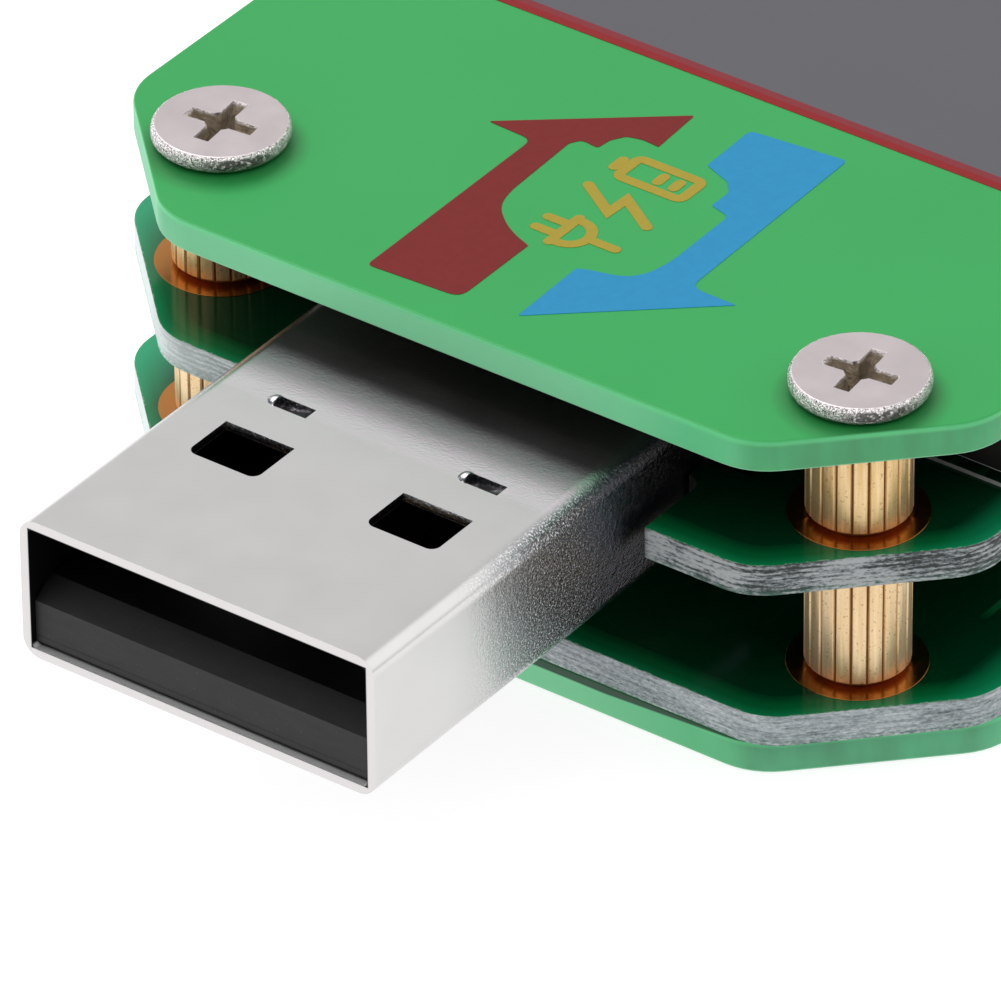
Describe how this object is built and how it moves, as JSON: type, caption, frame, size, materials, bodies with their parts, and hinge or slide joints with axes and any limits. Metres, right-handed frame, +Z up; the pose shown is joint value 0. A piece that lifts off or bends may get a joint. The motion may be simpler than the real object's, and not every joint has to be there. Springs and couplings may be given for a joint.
{
  "type": "usb power meter",
  "caption": "In-line USB power meter: green circuit boards between green cover sheets on brass standoffs, type-A plug in front, type-A socket behind, colour display and side push buttons.",
  "frame": {"origin": "centre of the object's box seen from above, on the underside of the bottom cover that it rests on", "axes": "+X from the plug end to the output socket end, +Y to the edge with the micro socket, +Z up through the display"},
  "size_m": [0.0712, 0.0308, 0.0117],
  "materials": {
    "cover_green": "translucent green sheet, satin face, polished sawn edge",
    "window_grey": "smoked clear sheet, gloss",
    "board_green": "gloss dark green solder mask on glass-fibre board with raw sawn edge",
    "brass": "knurled bright brass",
    "nickel": "nickel-plated steel, bright",
    "shell_steel": "nickel-plated sheet with a fine orange-peel texture",
    "gold": "gold-plated contact",
    "black_nylon": "moulded black nylon",
    "charcoal_pbt": "moulded charcoal thermoplastic",
    "fibre": "brown vulcanised fibre",
    "lcd_frame_white": "white moulded polycarbonate",
    "lcd_glass": "smoked display glass",
    "black_tape": "black polyester tape",
    "foam_tape": "white double-sided foam tape",
    "polyimide": "amber polyimide film over copper",
    "chip_black": "moulded epoxy",
    "tin": "tinned leads",
    "ceramic_tan": "ceramic body with tinned ends",
    "resistor_black": "thick-film body with tinned ends",
    "ferrite": "pressed ferrite",
    "tantalum": "yellow moulded epoxy",
    "led": "clear epoxy",
    "blue_board": "gloss dark blue board"
  },
  "bodies": {
    "root": {"top_cover": "cover_green", "display_window": "window_grey", "bottom_cover": "cover_green", "upper_board": "board_green", "lower_board": "board_green", "upper_standoffs": "brass", "lower_standoffs": "brass", "top_screws": "nickel", "bottom_screws": "nickel", "fibre_washers": "fibre", "plug_shell": "shell_steel", "plug_insulator": "charcoal_pbt", "plug_contacts": "gold", "socket_shell": "shell_steel", "socket_insulator": "black_nylon", "socket_contacts": "gold", "input_c_shell": "shell_steel", "input_c_insulator": "black_nylon", "input_c_contacts": "gold", "output_c_shell": "shell_steel", "output_c_insulator": "black_nylon", "output_c_contacts": "gold", "micro_shell": "shell_steel", "micro_insulator": "black_nylon", "micro_contacts": "gold", "lcd_frame": "lcd_frame_white", "lcd_backlight": "lcd_frame_white", "lcd_glass": "lcd_glass", "lcd_polarizer": "lcd_glass", "lcd_bezel": "black_tape", "lcd_driver": "chip_black", "lcd_flex": "polyimide", "lcd_tape": "foam_tape", "switch_housings": "black_nylon", "switch_domes": "tin", "header_plug": "black_nylon", "header_socket": "black_nylon", "header_pins": "gold", "controller_chip": "chip_black", "controller_leads": "tin", "memory_chip": "chip_black", "regulator_chip": "chip_black", "driver_chip": "chip_black", "shunt_resistor": "resistor_black", "inductor": "ferrite", "tantalum_capacitors": "tantalum", "ceramic_capacitors": "ceramic_tan", "resistors": "resistor_black", "crystal": "tin", "wireless_board": "blue_board", "wireless_shield": "tin", "status_leds": "led"},
    "button_front_right": {"button_front_right": "black_nylon"},
    "button_front_left": {"button_front_left": "black_nylon"},
    "button_back_right": {"button_back_right": "black_nylon"},
    "button_back_left": {"button_back_left": "black_nylon"}
  },
  "joints": [
    {"name": "button_front_right_press", "type": "slide", "parent": "root", "child": "button_front_right", "axis": [0, 1, 0], "range_m": [0, 0.00025], "stiffness_N_per_m": 1500, "springref_m": -0.00005},
    {"name": "button_front_left_press", "type": "slide", "parent": "root", "child": "button_front_left", "axis": [0, -1, 0], "range_m": [0, 0.00025], "stiffness_N_per_m": 1500, "springref_m": -0.00005},
    {"name": "button_back_right_press", "type": "slide", "parent": "root", "child": "button_back_right", "axis": [0, 1, 0], "range_m": [0, 0.00025], "stiffness_N_per_m": 1500, "springref_m": -0.00005},
    {"name": "button_back_left_press", "type": "slide", "parent": "root", "child": "button_back_left", "axis": [0, -1, 0], "range_m": [0, 0.00025], "stiffness_N_per_m": 1500, "springref_m": -0.00005}
  ]
}
